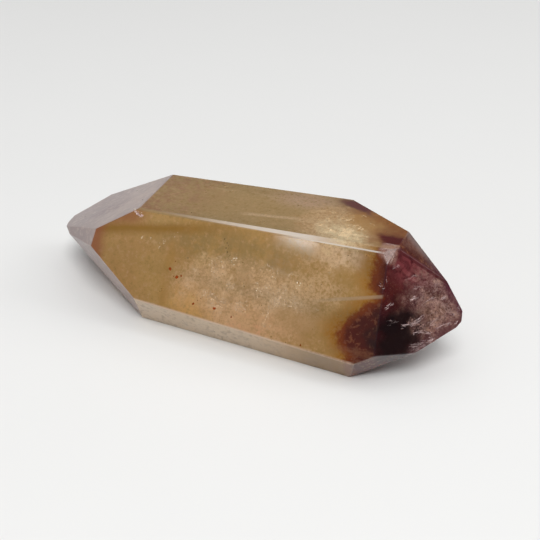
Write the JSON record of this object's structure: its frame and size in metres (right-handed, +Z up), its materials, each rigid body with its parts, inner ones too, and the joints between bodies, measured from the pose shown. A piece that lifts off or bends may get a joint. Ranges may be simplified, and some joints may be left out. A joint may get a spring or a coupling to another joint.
{
  "type": "quartz crystal point",
  "caption": "Polished double-ended quartz crystal lying on a flat side, milky smoky amber with a dark purple-red zone in one tip and a pale lilac tip at the other end.",
  "frame": {"origin": "middle of the bounding box in plan, on the plane that the crystal rests on", "axes": "+X along the crystal's long axis towards the dark purple end, +Z up from the resting side, -Y towards the broad front side"},
  "size_m": [0.1119, 0.0406, 0.0305],
  "materials": {
    "crystal": "polished natural stone, partly clear and milky, with cloudy veils"
  },
  "bodies": {
    "root": {"crystal": "crystal"}
  },
  "joints": []
}
